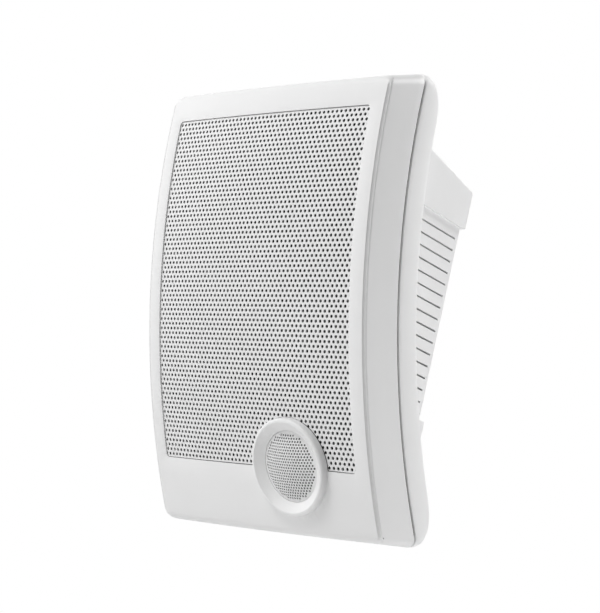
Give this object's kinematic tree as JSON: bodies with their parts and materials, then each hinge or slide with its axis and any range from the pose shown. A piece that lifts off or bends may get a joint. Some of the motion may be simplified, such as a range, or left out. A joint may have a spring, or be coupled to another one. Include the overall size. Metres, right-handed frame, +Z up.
{
  "type": "wall speaker",
  "caption": "Bowed two-way wall loudspeaker with a perforated grille, an offset ringed tweeter and a louvred wedge housing that leans the face down.",
  "frame": {"origin": "middle of the wall screw pattern, on the housing's back, which lies on the wall", "axes": "+Y into the wall, +Z up the wall, +X to the right for someone who faces the speaker; the face looks along -Y and leans down"},
  "size_m": [0.182, 0.1166, 0.2618],
  "materials": {
    "bezel_plastic": "fine satin moulded plastic, off-white",
    "shell_plastic": "finely textured moulded plastic, off-white",
    "housing_plastic": "smooth satin moulded plastic, off-white",
    "grille_steel": "powder-coated perforated sheet, off-white",
    "seal_foam": "dark closed-cell seal",
    "baffle_plastic": "black moulded plastic",
    "basket_steel": "black painted pressing",
    "cone_paper": "black treated paper",
    "surround_rubber": "black rubber",
    "spider_cloth": "doped cloth",
    "coil_wire": "enamelled copper",
    "plated_steel": "zinc-plated steel",
    "ferrite": "dark ferrite",
    "dome_silk": "coated silk",
    "screw_steel": "blackened steel",
    "board_laminate": "green board laminate",
    "capacitor_film": "blue film sleeve",
    "resistor_ceramic": "white cement",
    "terminal_plastic": "green moulded plastic",
    "grommet_rubber": "black rubber"
  },
  "bodies": {
    "cabinet": {"front_bezel": "bezel_plastic", "woofer_grille": "grille_steel", "tweeter_grille": "grille_steel", "case_seal": "seal_foam", "rear_shell": "shell_plastic", "rear_housing": "housing_plastic", "front_baffle": "baffle_plastic", "woofer_basket": "basket_steel", "woofer_surround": "surround_rubber", "woofer_spider": "spider_cloth", "woofer_top_plate": "plated_steel", "woofer_magnet": "ferrite", "woofer_back_plate": "plated_steel", "woofer_screws": "screw_steel", "tweeter_faceplate": "baffle_plastic", "tweeter_surround": "surround_rubber", "tweeter_top_plate": "plated_steel", "tweeter_magnet": "ferrite", "tweeter_back_plate": "plated_steel", "tweeter_screws": "screw_steel", "case_screws": "screw_steel", "housing_screws": "screw_steel", "crossover_board": "board_laminate", "crossover_coil": "coil_wire", "crossover_capacitor": "capacitor_film", "crossover_resistor": "resistor_ceramic", "terminal_block": "terminal_plastic", "board_screws": "plated_steel", "cable_grommet": "grommet_rubber"},
    "woofer_moving": {"woofer_cone": "cone_paper", "woofer_dust_cap": "cone_paper", "woofer_voice_coil": "coil_wire"},
    "tweeter_moving": {"tweeter_dome": "dome_silk"}
  },
  "joints": [
    {"name": "woofer_stroke", "type": "slide", "parent": "cabinet", "child": "woofer_moving", "axis": [0, 0.9613, 0.2756], "range_m": [-0.0025, 0.0025], "stiffness_N_per_m": 1200},
    {"name": "tweeter_stroke", "type": "slide", "parent": "cabinet", "child": "tweeter_moving", "axis": [0, 0.8925, 0.451], "range_m": [-0.0003, 0.0003], "stiffness_N_per_m": 400}
  ]
}
